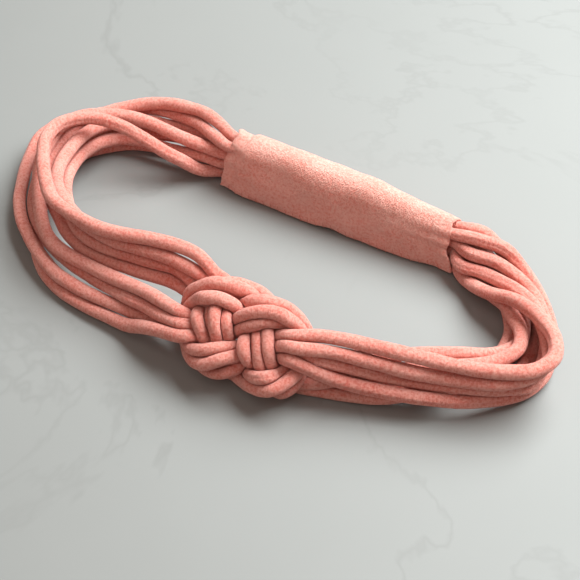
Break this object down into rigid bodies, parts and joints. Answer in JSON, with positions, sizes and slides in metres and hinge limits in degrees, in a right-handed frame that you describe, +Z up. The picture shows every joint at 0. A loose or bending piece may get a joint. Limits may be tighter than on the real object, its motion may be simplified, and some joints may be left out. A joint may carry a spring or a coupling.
{
  "type": "knotted headband",
  "caption": "Soft jersey headband: two ropes of rolled cords knotted together at the front, their ends gathered in a wrapped sleeve at the back.",
  "frame": {"origin": "centre of the object's box, on the surface it lies on", "axes": "+X to the wearer's side along the longest extent, +Y from the knot towards the sleeve, +Z up from the surface the band lies on"},
  "size_m": [0.2519, 0.1182, 0.0335],
  "materials": {
    "cord_jersey": "matte rolled knit",
    "sleeve_jersey": "matte flat knit",
    "sewing_thread": "matte thread"
  },
  "bodies": {
    "root": {"left_cord_1": "cord_jersey", "right_cord_1": "cord_jersey", "left_cord_2": "cord_jersey", "right_cord_2": "cord_jersey", "left_cord_3": "cord_jersey", "right_cord_3": "cord_jersey", "left_cord_4": "cord_jersey", "right_cord_4": "cord_jersey", "sleeve": "sleeve_jersey", "sleeve_seam_thread": "sewing_thread", "left_end_whipping": "sewing_thread", "right_end_whipping": "sewing_thread", "end_joining_stitch": "sewing_thread"}
  },
  "joints": []
}
